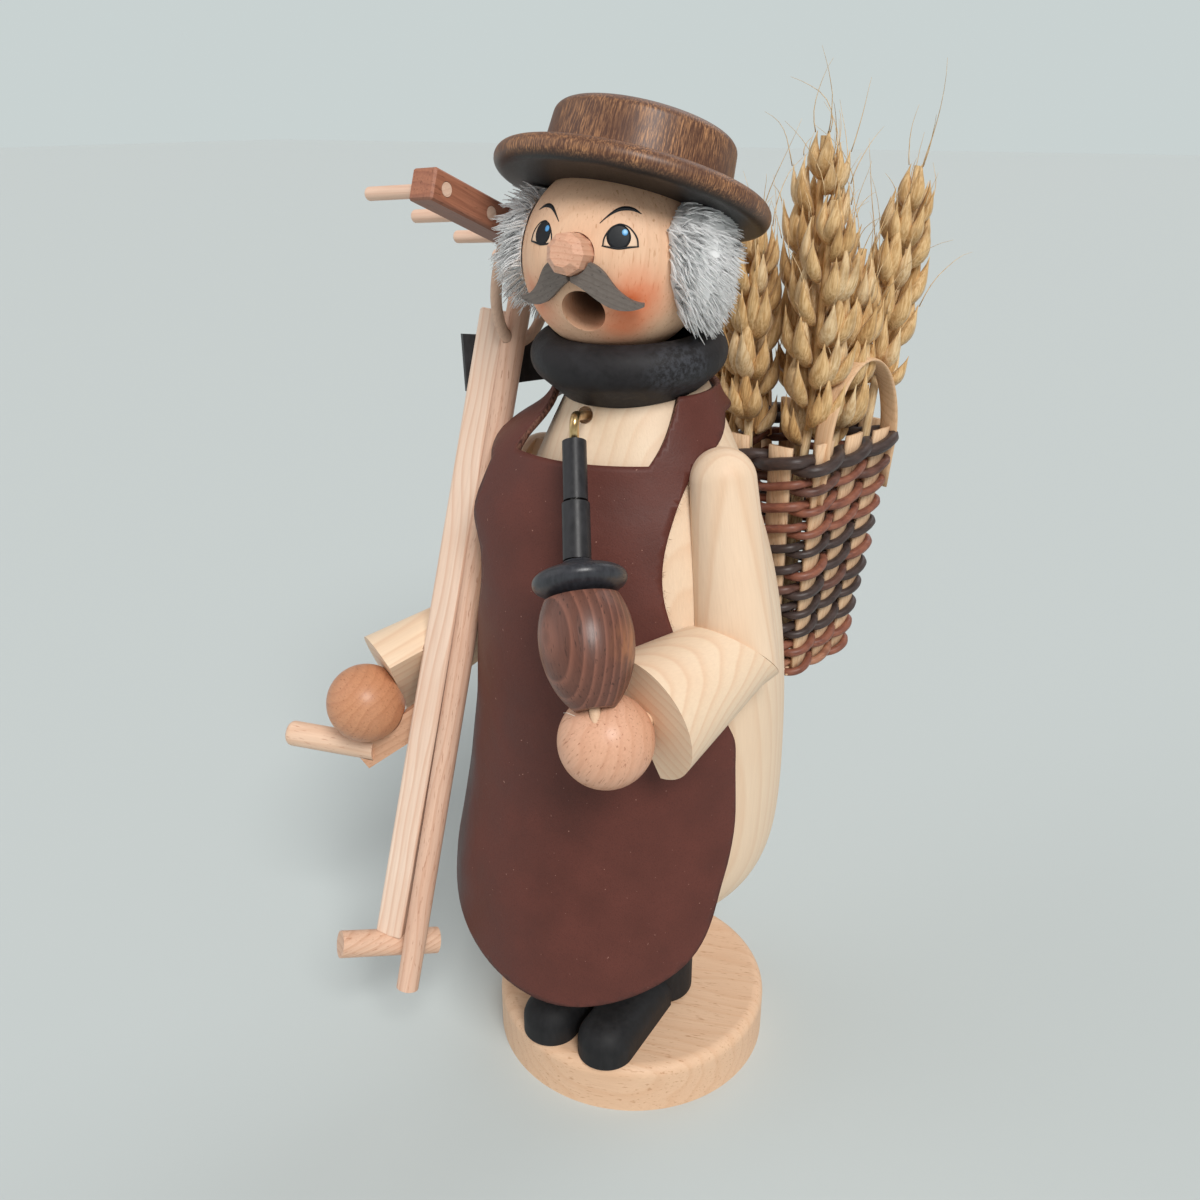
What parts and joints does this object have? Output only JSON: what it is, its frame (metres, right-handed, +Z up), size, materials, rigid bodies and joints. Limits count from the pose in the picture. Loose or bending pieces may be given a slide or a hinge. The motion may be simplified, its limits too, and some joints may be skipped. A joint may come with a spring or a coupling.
{
  "type": "incense smoker",
  "caption": "Turned wooden incense smoker of a farm hand; the hollow body lifts off its stand and smoke leaves the mouth.",
  "frame": {"origin": "centre of the base disc's underside", "axes": "+Z up, -Y is the way the figure faces, +X towards its left hand"},
  "size_m": [0.1069, 0.1243, 0.2031],
  "materials": {
    "beech_base": "clear matt lacquer",
    "beech_hand": "clear matt lacquer",
    "maple_body": "clear matt lacquer",
    "maple_arm": "clear matt lacquer",
    "face_wood": "clear matt lacquer with painted features",
    "nose_wood": "pink stain",
    "grey_veneer": "grey stain",
    "black_lacquer": "satin black lacquer",
    "hat_stain": "brown stain, satin",
    "bowl_stain": "dark brown stain, satin",
    "scarf_paint": "matt charcoal stain",
    "tool_wood": "clear matt lacquer",
    "pale_tool_wood": "clear matt lacquer",
    "rake_wood": "reddish clear lacquer",
    "blade_black": "matt black",
    "brass_wire": "drawn",
    "steel_pin": "drawn",
    "dish_metal": "pressed",
    "apron_leather": "smooth dark red-brown leather, raw edge",
    "white_fur": "long pile",
    "basket_weave": "woven reed and flat splint stakes",
    "basket_splint": "bare splint",
    "wheat": "dried ears and straw"
  },
  "bodies": {
    "stand": {"base_disc": "beech_base", "right_leg": "black_lacquer", "left_leg": "black_lacquer", "right_shoe": "black_lacquer", "left_shoe": "black_lacquer", "leg_dowels": "beech_base", "smoke_plug": "maple_body", "incense_dish": "dish_metal", "dish_tack": "steel_pin"},
    "torso": {"body_shell": "maple_body", "neck_tube": "maple_body", "head": "face_wood", "nose": "nose_wood", "moustache_right": "grey_veneer", "moustache_left": "grey_veneer", "hat": "hat_stain", "apron": "apron_leather", "scarf": "scarf_paint", "hair": "white_fur", "left_upper_arm": "maple_arm", "left_forearm": "maple_arm", "left_hand": "beech_hand", "left_wrist_pin": "beech_base", "left_shoulder_pin": "beech_base", "right_upper_arm": "maple_arm", "right_forearm": "maple_arm", "right_hand": "beech_hand", "right_wrist_pin": "beech_base", "right_shoulder_pin": "beech_base", "basket_peg": "beech_base", "basket_shell": "basket_weave", "basket_handle_right": "basket_splint", "basket_handle_left": "basket_splint", "basket_rim": "basket_splint", "pipe_hook": "brass_wire", "pipe_core": "steel_pin", "pipe_lid_pin": "beech_base", "pipe_foot_pin": "beech_base", "pipe_upper_stem": "black_lacquer", "pipe_lower_stem": "black_lacquer", "pipe_lid": "black_lacquer", "pipe_bowl": "bowl_stain", "rake_brace": "rake_wood", "rake_teeth": "pale_tool_wood", "rake_head": "rake_wood", "rake_handle": "tool_wood", "blade_rivet": "steel_pin", "scythe_blade": "blade_black", "scythe_grip_arm": "tool_wood", "scythe_mid_grip": "pale_tool_wood", "scythe_end_grip": "tool_wood", "scythe_snath": "pale_tool_wood", "wheat_ear_1": "wheat", "wheat_ear_2": "wheat", "wheat_ear_3": "wheat", "wheat_ear_4": "wheat", "wheat_ear_5": "wheat", "wheat_ear_6": "wheat", "wheat_ear_7": "wheat"}
  },
  "joints": [
    {"name": "torso_lift", "type": "slide", "parent": "stand", "child": "torso", "axis": [0, 0, 1], "range_m": [0, 0.08]}
  ]
}
